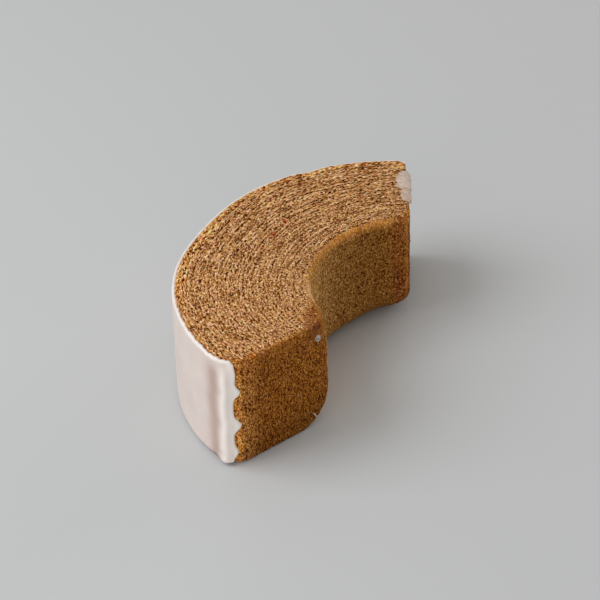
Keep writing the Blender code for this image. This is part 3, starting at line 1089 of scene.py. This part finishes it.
def ridges_at(distance, height):
    """The ridge and the valley, each from 0 to 1."""
    to_ridge = OUTER_LENGTH + mix(FRONT_REACH, front_edge(height), RIDGE_WAVE) - distance
    below_top = soft_step(icing_top(distance) - height, 0.0, RIDGE_FADE)
    return [bump(to_ridge, *place) * below_top for _, *place in RIDGES]


print("longest drop in mm:", np.round(front_edge(np.linspace(0.0, HEIGHT, 89)).max(), 1))

# %% [markdown]
# ## Building the icing
#
# The skin is thin and round at its edges and thick on the ridge. Noise along the normals would
# swell its edges too. So the thickness comes first and lifts the skin's outer copy. The inner
# copy is sunk in the cake a little, so no gap can show.

# %% Icing skin
GAP = 0.3
SUNK = 0.12
BEADS = (
    (12.5, 26.0, 2.0, 0.30),
    (6.5, 6.5, 1.4, 0.35),
    (17.0, 31.0, 2.6, 0.22),
    (33.0, 23.0, 1.1, 0.45),
    (24.0, 14.0, 2.2, 0.20),
    (58.0, 30.0, 1.8, 0.30),
    (85.0, 12.0, 2.4, 0.30),
)
DROP_PULL = 12.0
LEVEL_BUNCHING = 1.25
COLUMN_BUNCHING = 0.12
THIN_SHARE = 0.6
# Spans of the painted highlights along the icing's front and top edges.
FRONT_EDGE_HIGHLIGHT_SPAN = (2.0, 6.0)
TOP_EDGE_HIGHLIGHT_SPAN = (0.4, 1.6)
ICING_COLUMNS = 301
ICING_LEVELS = 101


def icing_thickness(distance, height):
    to_front = OUTER_LENGTH + front_edge(height) - distance
    to_far = distance + far_edge(height)
    to_top = icing_top(distance) - height
    shares = ridges_at(distance, height)
    ridge = sum(rise * share for (rise, *_), share in zip(RIDGES, shares))
    swell = ICING_SWELL * flat_noise(distance, height, ICING_SWELL_LENGTH, 5.0)
    for back, high, radius, rise in BEADS:
        away = np.hypot(OUTER_LENGTH - back - distance, height - high)
        swell = swell + rise * bump(away, 0.0, radius)
    full = ICING_THICKNESS + ridge + swell - ICING_EDGE
    nearest = np.minimum(np.minimum(to_front, to_far), to_top)
    return ICING_EDGE + full * round_rise(np.maximum(nearest, 0.0), ICING_ROUND)


def build_icing():
    grid = skin(ICING_COLUMNS, ICING_LEVELS)
    mesh, _, (share, level, outer) = counted_mesh(grid, "icing_skin")
    level = 1.0 - (1.0 - level) ** LEVEL_BUNCHING
    share = share + COLUMN_BUNCHING * np.sin(math.pi * share) * share
    share = share / share.max()
    edge_height = mix(ICING_FOOT, ICING_TOP, level)
    start = -far_edge(edge_height)
    even = mix(-FAR_REACH, OUTER_LENGTH, share)
    pull = np.clip(1.0 - (OUTER_LENGTH - even) / DROP_PULL, 0.0, 1.0)
    hold = np.clip(1.0 - (even + FAR_REACH) / DROP_PULL, 0.0, 1.0)
    distance = even + front_edge(edge_height) * pull + (start + FAR_REACH) * hold
    height = icing_height(level, distance)
    thickness = icing_thickness(distance, height)
    spots = skin_point(distance, height, outer * (thickness + GAP + SUNK) - SUNK)
    set_spots(mesh, spots)
    face_outwards(mesh)
    full = THIN_SHARE * ICING_THICKNESS
    store(mesh, "thickness", np.clip((thickness - ICING_EDGE) / (full - ICING_EDGE), 0.0, 1.0))
    ridge, valley = ridges_at(distance, height)
    # Where the ridge highlight, the front and top edge highlights and the valley shade are
    # painted.
    front_edge_highlight = fade(OUTER_LENGTH - distance, *FRONT_EDGE_HIGHLIGHT_SPAN)
    top_edge_highlight = fade(icing_top(distance) - height, *TOP_EDGE_HIGHLIGHT_SPAN)
    store(mesh, "ridge", largest(ridge, front_edge_highlight, 0.7 * top_edge_highlight))
    store(mesh, "valley", valley * (1.0 - front_edge_highlight))
    return show(mesh, "icing_skin", ICING, "icing")


build_icing()

# %% [markdown]
# ## The smear of icing
#
# A little icing was pressed over the far end's top edge. It is milky where it is thick, and tan
# where the cake tints it: at its rim and in its smaller lobe. A clear shader could let the cake
# through, but a plain colour is quicker and has no noise.

# %% Smear finish
SMEAR_MILK = (0.640, 0.510, 0.440, 1.0)
SMEAR_TAN = (0.470, 0.295, 0.190, 1.0)


def smear_finish():
    finish = Finish("smeared_icing")
    cloud = finish.noise(2.4, 3.0, 0.6).step(0.38, 0.62)
    clear = finish.attribute("clear")
    colour = finish.blend(SMEAR_MILK, SMEAR_TAN, (clear + cloud * 0.35).clamped())
    finish.set(Base_Color=colour, Roughness=0.16 + 0.15 * cloud)
    finish.soften(0.2, 0.9, 0.6, 0.4)
    finish.relief(cloud, 0.3)
    return finish.made()


SMEAR = smear_finish()

# %% [markdown]
# ## The smear's form
#
# The smear is a low double lobe. Two squashed spheres would meet in a sharp crease, so it is a
# skin whose outline is the larger of two half circles, bent over the rounded edge.

# %% Smear form
SMEAR_LOBES = ((62.4, 7.1, 4.0, 1.7, 1.3), (52.6, 4.5, 2.8, 0.6, 0.9))
SMEAR_COLUMNS = 81
SMEAR_ROWS = 41
SMEAR_EDGE = 0.3
SMEAR_GAP = 0.4
SMEAR_WAVE = 0.6
SMEAR_WAVE_SIZE = 2.6
LUMP_SIZE = 1.8
LOW_LOBE = (50.0, 57.0)
BETWEEN_LOBES = (56.2, 1.0)


def far_edge_point(reach, over, lift):
    """A point above the far end's top edge: over is negative on top, positive down the end."""
    bend = END_TOP
    turn = np.clip(over / bend + math.pi / 4, 0.0, math.pi / 2)
    flat = np.maximum(-over - bend * math.pi / 4, 0.0)
    drop = np.maximum(over - bend * math.pi / 4, 0.0)
    inset = bend * (1.0 - np.sin(turn)) + flat - lift * np.sin(turn)
    below = bend * (1.0 - np.cos(turn)) + drop - lift * np.cos(turn)
    normal = np.array((math.cos(FAR_NORMAL_ANGLE), math.sin(FAR_NORMAL_ANGLE), 0.0))
    level = np.array((-normal[1], normal[0], 0.0))
    spots = np.outer(FAR_CUT_OFFSET - inset, normal) + np.outer(reach, level)
    spots[:, 2] = HEIGHT
    swell = TOP_SWELL * noise_at(spots, SWELL_LENGTH, 3.0)
    spots[:, 2] = HEIGHT + swell * np.cos(turn) - below
    return spots


def build_smear():
    grid = skin(SMEAR_COLUMNS, SMEAR_ROWS)
    mesh, _, (along, side, outer) = counted_mesh(grid, "icing_smear_soft")
    low = min(centre - half for centre, half, *_ in SMEAR_LOBES)
    high = max(centre + half for centre, half, *_ in SMEAR_LOBES)
    reach = mix(low, high, along)
    inner = over = rise = np.zeros(len(reach))
    for centre, half, lobe_in, lobe_over, lobe_rise in SMEAR_LOBES:
        share = round_rise(np.maximum(half - np.abs(reach - centre), 0.0), half)
        inner = np.maximum(inner, lobe_in * share)
        over = np.maximum(over, lobe_over * share)
        rise = np.maximum(rise, lobe_rise * share)
    inner = inner * (1.0 + SMEAR_WAVE * flat_noise(reach, 0.0 * reach, SMEAR_WAVE_SIZE, 4.0))
    across = mix(-inner - SMEAR_EDGE, over + SMEAR_EDGE, side)
    crown = round_rise(np.minimum(side, 1.0 - side), 0.5)
    lumps = flat_noise(reach, across, LUMP_SIZE, 6.0)
    lift = SMEAR_GAP + outer * (SMEAR_EDGE + rise * crown * (0.8 + 0.5 * lumps))
    set_spots(mesh, far_edge_point(reach, across, lift))
    face_outwards(mesh)
    clear = 0.6 * (1.0 - crown) + 0.4 * bump(reach, *BETWEEN_LOBES)
    clear = clear + 0.25 * fade(reach, *LOW_LOBE) * (1.0 + lumps)
    store(mesh, "clear", np.clip(clear, 0.0, 1.0))
    return show(mesh, "icing_smear_soft", SMEAR, "icing_smear")


build_smear()

# %% [markdown]
# ## Seats on the cake
#
# Small things cling to the cake, half sunk. A ray cast could find the surface below each, but the
# cake's vertices are close enough together. So `seat` takes one of them and gives a matrix that
# turns a shape to face out of the cake there.

# %% Nearest point and seat
SPOTS = get_spots(cake.data) / MM - AXIS
NORMALS = get_normals(cake.data)
print("top of the cake in mm:", SPOTS[:, 2].max().round(2))


def nearest_point(place):
    return int(np.linalg.norm(SPOTS - np.array(place), axis=1).argmin())


def seat(nearest, turn, scale, sunk):
    """A matrix that puts a shape on a point of the cake, its z facing out of the cake."""
    normal = Vector(NORMALS[nearest])
    facing = normal.to_track_quat("Z", "Y").to_matrix().to_4x4()
    centre = Vector((SPOTS[nearest] + AXIS) * MM) - normal * sunk * MM
    size = Matrix.Diagonal((*(length * MM for length in scale), 1.0))
    return Matrix.Translation(centre) @ facing @ Matrix.Rotation(turn, 4, "Z") @ size


def show_shape(shape, name, material):
    return show(mesh_of(shape, name), name, material, None)


# %% [markdown]
# ## A drop of glaze and a flake
#
# A drop of glaze has dried on the front's upper corner, and a thin flake of icing stands off its
# foot. The drop is a flattened sphere. The flake is a slab, bent and tilted, because a plain box
# would look cut with a knife.

# %% Glaze and flake
GLAZE_PLACE = (-11.7, -38.6, 38.0)
GLAZE_SIZE = (1.2, 1.6, 0.5)
GLAZE_TURN = math.radians(15.0)
FLAKE_PLACE = (-11.6, -39.5, 4.5)
FLAKE_SIZE = (2.4, 0.5, 0.7)
FLAKE_TURN = math.radians(-60.0)
FLAKE_BEND = 0.5
FLAKE_TILT = 0.3
GLAZE_DARK = (0.300, 0.210, 0.165, 1.0)
GLAZE_PALE = (0.520, 0.450, 0.420, 1.0)


def glaze_finish():
    finish = Finish("dried_glaze")
    cloud = finish.noise(0.8).step(0.35, 0.65)
    colour = finish.blend(GLAZE_DARK, GLAZE_PALE, cloud)
    finish.set(Base_Color=colour, Roughness=0.18 + 0.1 * cloud)
    finish.relief(cloud, 0.2)
    return finish.made()


def build_glaze():
    shape = bmesh.new()
    place = seat(nearest_point(GLAZE_PLACE), GLAZE_TURN, GLAZE_SIZE, 0.1)
    bmesh.ops.create_uvsphere(shape, u_segments=32, v_segments=20, radius=1.0, matrix=place)
    return show_shape(shape, "glaze_drop", glaze_finish())


def build_flake():
    shape = bmesh.new()
    bmesh.ops.create_cube(shape, size=1.0)
    bmesh.ops.subdivide_edges(shape, edges=shape.edges[:], cuts=5, use_grid_fill=True)
    for vert in shape.verts:
        vert.co.y += FLAKE_BEND * vert.co.x**2
        vert.co.z += FLAKE_TILT * vert.co.x
    place = seat(nearest_point(FLAKE_PLACE), FLAKE_TURN, FLAKE_SIZE, 0.0)
    bmesh.ops.transform(shape, matrix=place, verts=shape.verts)
    return show_shape(shape, "icing_flake", SMEAR)


build_glaze()
build_flake()

# %% [markdown]
# ## Loose grains
#
# The knife left loose grains of crumb on the cuts. A particle system could strew them, but one
# plain mesh is simpler. Each grain is a small squashed ball of true size, placed at random from a
# fixed seed.

# %% Loose grains
GRAINS = 900
GRAIN_SIZES = (0.22, 0.50)
GRAIN_SQUASH = (0.7, 1.2)
GRAIN_SUNK = 0.3
GRAIN_DARK = (0.240, 0.085, 0.015, 1.0)
GRAIN_SANDY = (0.640, 0.340, 0.130, 1.0)
GRAIN_SPECK = (0.800, 0.520, 0.260, 1.0)
BARE_HEIGHT = 1.5
BARE_MARGIN = 0.6


def grain_finish():
    finish = Finish("loose_grain")
    speck = finish.noise(0.3)
    colour = finish.blend(GRAIN_DARK, GRAIN_SANDY, finish.attribute("tint"))
    colour = finish.blend(colour, GRAIN_SPECK, speck.step(0.5, 0.8) * 0.6)
    finish.set(Base_Color=colour, Roughness=0.8 + 0.1 * speck, Specular_IOR_Level=0.1)
    return finish.made()


def build_grains():
    chance = np.random.default_rng(7)
    radius = np.hypot(SPOTS[:, 0], SPOTS[:, 1])
    angle = np.arctan2(SPOTS[:, 1], SPOTS[:, 0]) % math.tau
    bare = (radius < outer_radius(angle) - BARE_MARGIN) & (SPOTS[:, 2] > BARE_HEIGHT)
    picked = chance.choice(np.flatnonzero(bare), GRAINS, replace=False)
    ball = bmesh.new()
    bmesh.ops.create_icosphere(ball, subdivisions=2, radius=1.0)
    one = mesh_of(ball, "grain")
    shape = bmesh.new()
    for nearest in picked:
        size = chance.uniform(*GRAIN_SIZES)
        scale = size * chance.uniform(*GRAIN_SQUASH, 3)
        place = seat(nearest, chance.uniform(0.0, math.tau), scale, GRAIN_SUNK * size)
        grain = one.copy()
        grain.transform(place)
        shape.from_mesh(grain)
        bpy.data.meshes.remove(grain)
    tints = 0.35 + 0.65 * chance.random(GRAINS)
    # Grains below the top get a darker tint: painted shade for the sides.
    tints = tints * np.where(SPOTS[picked, 2] < HEIGHT - 3.0, 0.4, 1.0)
    grains = show_shape(shape, "crumb_grains", grain_finish())
    store(grains.data, "tint", np.repeat(tints, len(one.vertices)))
    return grains


build_grains()

# %% [markdown]
# ## The floor
#
# The cake lies on one large grid, plain and pale, that takes its shadow and no attention. A slab
# would do as well. The grid is a hair below the cake, because two faces in one place flicker.

# %% Floor
FLOOR_SIZE = 3.0
FLOOR_DROP = 0.2
FLOOR_GREY = (0.555, 0.565, 0.575, 1.0)


def build_floor():
    finish = Finish("pale_floor")
    finish.set(Base_Color=FLOOR_GREY, Roughness=0.6)
    shape = bmesh.new()
    bmesh.ops.create_grid(shape, x_segments=1, y_segments=1, size=FLOOR_SIZE / 2)
    bmesh.ops.translate(shape, verts=shape.verts, vec=(0.0, 0.0, -FLOOR_DROP * MM))
    mesh = bpy.data.meshes.new("floor")
    shape.to_mesh(mesh)
    shape.free()
    mesh.materials.append(finish.material)
    add_object("floor", mesh)
    print("floor in m:", FLOOR_SIZE)


build_floor()

# %% [markdown]
# ## Light
#
# One bare lamp gives hard shadows, and an even sky none at all. So a large soft light from the
# left makes the top bright and leaves the front in shade, a weaker one beside the camera lifts
# that shade, a low one from behind on the right draws the hole's edge, and a pale sky fills the
# rest.

# %% Lights and sky
VIEW_TURN = math.radians(25.85)
LIGHTS = {
    "key": (185.0, 46.0, 8.8, 0.9, (0.96, 0.98, 1.0)),
    "fill": (250.0, 16.0, 4.3, 1.2, (1.0, 0.98, 0.96)),
    "edge": (42.0, 14.0, 3.0, 0.6, (1.0, 0.97, 0.92)),
}
LIGHT_DISTANCE = 1.2
SKY = (1.0, 0.985, 0.94, 1.0)
SKY_STRENGTH = 0.45


def build_light(name, turn, rise, power, size, colour):
    """A soft light that looks at the cake, turned and raised from the camera's view."""
    data = bpy.data.lights.new(name, "AREA")
    data.energy = power
    data.size = size
    data.color = colour
    lamp = add_object(name, data)
    turn = VIEW_TURN + math.radians(turn)
    rise = math.radians(rise)
    level = math.cos(rise)
    towards = Vector((math.cos(turn) * level, math.sin(turn) * level, math.sin(rise)))
    lamp.location = towards * LIGHT_DISTANCE
    lamp.rotation_euler = towards.to_track_quat("Z", "Y").to_euler()
    print(name, "light:", power, "W")


def build_sky():
    world = bpy.data.worlds.new("studio")
    world.use_nodes = True
    sky = world.node_tree.nodes["Background"]
    sky.inputs["Color"].default_value = SKY
    sky.inputs["Strength"].default_value = SKY_STRENGTH
    bpy.context.scene.world = world
    bpy.context.scene.view_settings.view_transform = "Standard"


for light_name, settings in LIGHTS.items():
    build_light(light_name, *settings)
build_sky()

# %% [markdown]
# ## Camera
#
# A short lens close by would make the cake's front look too big. This is a long lens almost a
# metre away. It looks down at 35 degrees, which shows the rings and the cut's height at once.

# %% Camera
LOOK_AT = Vector((-8.13, 29.56, 0.0)) * MM
LOOK_DISTANCE = 992.2 * MM
LOOK_DOWN = math.radians(34.6)
CAMERA_ROLL = math.radians(1.46)
LENS = 156.0
SENSOR = 36.0


def build_camera():
    data = bpy.data.cameras.new("camera")
    data.lens = LENS
    data.sensor_width = SENSOR
    data.clip_end = 20.0
    camera = add_object("camera", data)
    turn = Matrix.Rotation(VIEW_TURN, 4, "Z")
    tilt = Matrix.Rotation(math.pi / 2 - LOOK_DOWN, 4, "X")
    roll = Matrix.Rotation(-CAMERA_ROLL, 4, "Z")
    facing = turn @ tilt @ roll
    back = facing @ Vector((0.0, 0.0, 1.0))
    camera.matrix_world = Matrix.Translation(LOOK_AT + back * LOOK_DISTANCE) @ facing
    bpy.context.scene.camera = camera
    print("camera at:", [round(length, 3) for length in camera.matrix_world.translation])


build_camera()
